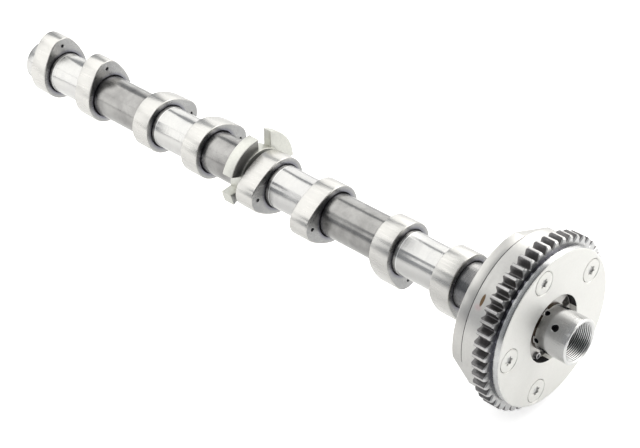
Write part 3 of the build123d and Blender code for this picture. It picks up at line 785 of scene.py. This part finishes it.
def cover_screw(number, direction):
    """Rows from the shank's end to the socket's floor, each at one x, with a radius that is the same all
    round or follows the star."""
    piece = Piece(f"housing_screw_{number}", SCREW, SOCKET)
    angle = circle(120)
    star = star_radius(angle)
    end, neck, floor = COVER_X - SCREW_LENGTH, COVER_X - SCREW_HEAD_DEPTH, COVER_X - SOCKET_DEPTH
    rows = [
        (end, 0.0, SCREW), (end, SCREW_R - SCREW_CHAMFER, SCREW), (end + SCREW_CHAMFER, SCREW_R, SCREW),
        (neck, SCREW_R, SCREW), (COVER_X - 0.25, SCREW_HEAD_R - 0.05, SCREW),
        (COVER_X - 0.08, SCREW_HEAD_R - 0.12, SCREW), (COVER_X, SCREW_HEAD_R - 0.35, SCREW),
        (COVER_X, SCREW_HEAD_R - 1.4, SCREW), (COVER_X - 0.02, star + 0.25, SCREW),
        (COVER_X - 0.2, star, SOCKET), (floor, star, SOCKET), (floor - 0.3, 0.0, SOCKET)]
    xs, radii, finishes = zip(*rows)
    points = loops(xs, [polar(radius, angle + np.radians(direction)) for radius in radii])
    points[..., 1:] += polar(SCREW_AT_R, np.radians(direction))
    piece.grid(points, list(finishes))
    piece.made("phaser_housing", "dark_screw", f"cover_screw_{number}")


camshaft_tube()
for pair, direction in enumerate(PAIR_ANGLES):
    for place, front in enumerate(lobe_fronts(pair), 1):
        lobe(2 * pair + place, front, direction)
sender_wheel()
rear_cover()
sprocket_housing()
front_cover()
for number, direction in enumerate(WEB_ANGLES, 1):
    cover_screw(number, direction)

# Finishes of the solids that stay
KEPT_FINISHES = {"phaser_rotor": ROTOR, "rear_plug": STEEL, "lock_pin": STEEL, "lock_spring": STEEL,
                 "hollow_pin": STEEL, "lock_bush": STEEL}
for number in range(1, VANES + 1):
    KEPT_FINISHES[f"vane_seal_{number}"] = PLASTIC
    KEPT_FINISHES[f"seal_spring_{number}"] = STEEL
for name, finish in KEPT_FINISHES.items():
    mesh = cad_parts[name].data
    mesh.materials.clear()
    mesh.materials.append(finish)


# Floor, light and camera, in metres

FLOOR_HALF, FLOOR_COLOUR, FLOOR_SEEN_GLOW, FLOOR_MIRRORED_GLOW = 6.0, (0.9, 0.9, 0.9), 0.62, 0.33
WORLD_COLOUR, WORLD_BEHIND, WORLD_AHEAD = (0.93, 0.96, 1.0), 0.5, 0.12
LAMP_COLOUR = 1.0, 0.99, 0.96
# Each lamp is (centre, direction, size, radiance)
LAMPS = {
    "top_softbox": ((-0.565, -0.105, 0.30), (0, 0, -1), (0.78, 0.47), 1.38),
    "left_softbox": ((-0.8, -0.35, 0.145), (0, 1, 0), (0.7, 0.31), 1.38),
    "left_strip": ((-0.3175, -0.35, 0.15), (0, 1, 0), (0.155, 0.1), 1.15),
    "back_softbox": ((-0.3, 0.9, 0.62), (0, -1, 0), (1.9, 1.15), 1.2),
    "nose_softbox": ((0.0, 0.30, 0.35), (0, -0.65, -0.76), (0.5, 0.35), 1.75),
    "front_softbox": ((1.0, 0.8, 0.6), (-1, -0.8, -0.6), (1.0, 0.8), 2.3)}
CAMERA_LENS, CAMERA_SENSOR, CAMERA_NEAR = 100.87, 36.0, 0.01
CAMERA_PLACE = 0.36692, -0.55554, 0.50448
CAMERA_RIGHT, CAMERA_UP = (0.72183, 0.69207, 0.0), (-0.38522, 0.40179, 0.83076)
CAMERA_BACK = 0.57495, -0.59967, 0.55663


def plain(name, colour, seen_glow, mirrored_glow):
    """Matt surface that also glows a little: by one strength to the camera and by another in reflections."""
    material = new_material(name)
    tree = material.node_tree
    path = node(tree, "ShaderNodeLightPath").outputs
    mirrored = number_math(tree, "MAXIMUM", path["Is Glossy Ray"], path["Is Transmission Ray"])
    strength = number_math(tree, "ADD", number_math(tree, "MULTIPLY", mirrored, mirrored_glow),
                           number_math(tree, "MULTIPLY", path["Is Camera Ray"], seen_glow))
    matt = node(tree, "ShaderNodeBsdfDiffuse", Color=(*colour, 1))
    glow = node(tree, "ShaderNodeEmission", Color=(1, 1, 1, 1), Strength=strength)
    both = node(tree, "ShaderNodeAddShader", i0=matt.outputs[0], i1=glow.outputs[0])
    node(tree, "ShaderNodeOutputMaterial", Surface=both.outputs[0])
    return material


def floor():
    """A flat square that the part stands on."""
    z = float(cad_box[0][2])
    mesh = bpy.data.meshes.new("floor")
    corners = [(x * FLOOR_HALF, y * FLOOR_HALF, z) for x, y in ((-1, -1), (1, -1), (1, 1), (-1, 1))]
    mesh.from_pydata(corners, [], [(0, 1, 2, 3)])
    mesh.materials.append(plain("white_floor", FLOOR_COLOUR, FLOOR_SEEN_GLOW, FLOOR_MIRRORED_GLOW))
    thing = bpy.data.objects.new("floor", mesh)
    bpy.context.scene.collection.objects.link(thing)


def surroundings():
    """World that is brighter behind the rear end of the shaft than ahead of its nose."""
    world = bpy.data.worlds.new("studio")
    bpy.context.scene.world = world
    world.use_nodes = True
    tree = world.node_tree
    ahead = node(tree, "ShaderNodeSeparateXYZ", Vector=node(tree, "ShaderNodeTexCoord").outputs["Generated"])
    level = map_range(tree, ahead.outputs["X"], -0.3, 0.3, WORLD_BEHIND, WORLD_AHEAD)
    tree.nodes["Background"].inputs["Color"].default_value = (*WORLD_COLOUR, 1)
    tree.links.new(level, tree.nodes["Background"].inputs["Strength"])


def soft_lamp(name, centre, facing, size, radiance):
    """Rectangular lamp, slightly warm: its power is its radiance times pi times its area."""
    lamp = bpy.data.lights.new(name, "AREA")
    lamp.shape, lamp.size, lamp.size_y = "RECTANGLE", size[0], size[1]
    lamp.energy = radiance * np.pi * size[0] * size[1]
    lamp.color = LAMP_COLOUR
    thing = bpy.data.objects.new(name, lamp)
    thing.location = centre
    thing.rotation_euler = Vector(facing).to_track_quat("-Z", "Y").to_euler()
    bpy.context.scene.collection.objects.link(thing)


def camera():
    """Camera at the photograph's viewing angle, turned by its own three directions."""
    made = bpy.data.cameras.new("camera")
    made.lens, made.sensor_width, made.clip_start = CAMERA_LENS, CAMERA_SENSOR, CAMERA_NEAR
    thing = bpy.data.objects.new("camera", made)
    turn = Matrix((CAMERA_RIGHT, CAMERA_UP, CAMERA_BACK)).transposed().to_4x4()
    thing.matrix_world = Matrix.Translation(CAMERA_PLACE) @ turn
    bpy.context.scene.collection.objects.link(thing)
    bpy.context.scene.camera = thing


floor()
surroundings()
for name, lamp in LAMPS.items():
    soft_lamp(name, *lamp)
camera()
bpy.context.scene.view_settings.view_transform = "Standard"
